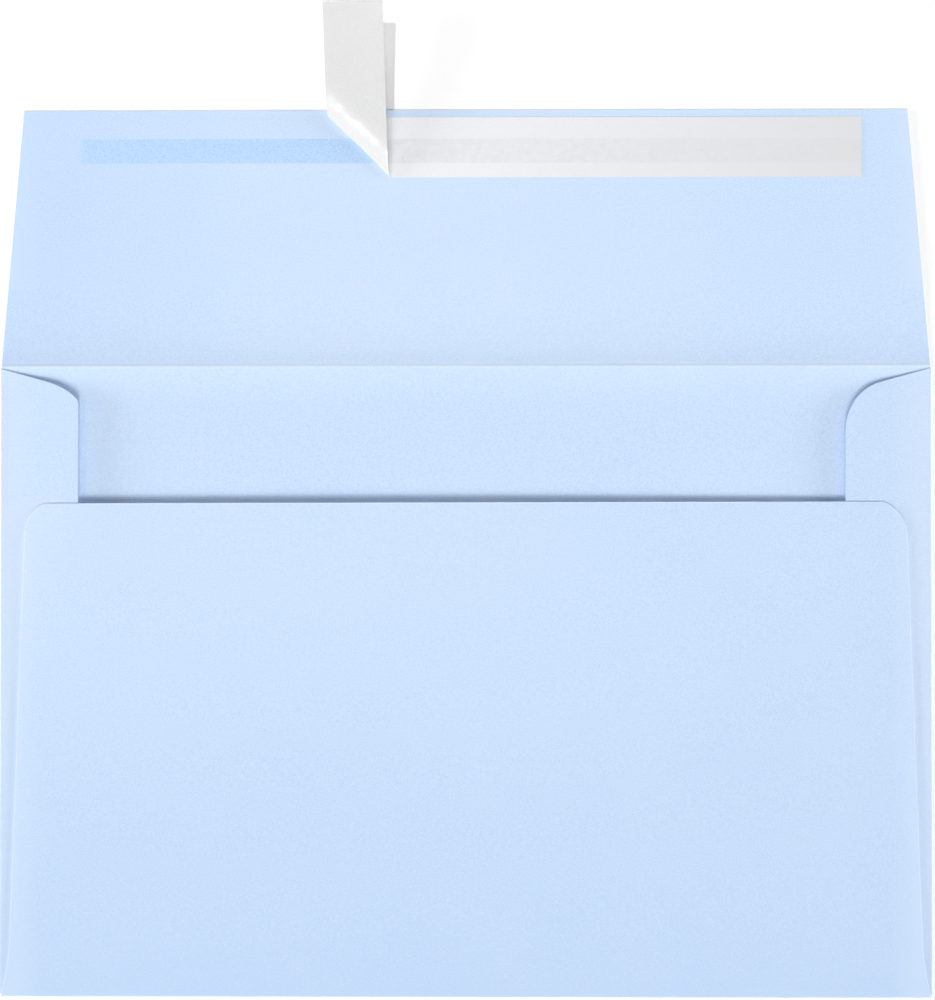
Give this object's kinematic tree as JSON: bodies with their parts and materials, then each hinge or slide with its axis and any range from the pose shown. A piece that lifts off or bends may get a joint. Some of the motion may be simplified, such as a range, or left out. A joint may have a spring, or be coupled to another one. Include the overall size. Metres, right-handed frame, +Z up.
{
  "type": "paper envelope",
  "caption": "Light blue paper envelope lying open, square flap up, with a peel-and-press adhesive band and its release liner half peeled and turned over",
  "frame": {"origin": "Centre of the front panel's outer face, between the two side folds and between the bottom fold and the flap crease. The face lies on the surface that the envelope rests on.", "axes": "+X runs along the flap crease, to the right with the flap away from the viewer. +Y runs from the bottom fold to the flap. +Z is up out of the surface, towards the back panel."},
  "size_m": [0.2064, 0.2203, 0.0064],
  "materials": {
    "envelope_paper": "matte",
    "seam_gum": "satin",
    "adhesive": "satin",
    "liner": "satin"
  },
  "bodies": {
    "root": {"envelope_sheet": "envelope_paper", "seam_gum_left": "seam_gum", "seam_gum_right": "seam_gum", "adhesive_band": "adhesive", "release_liner": "liner"}
  },
  "joints": []
}
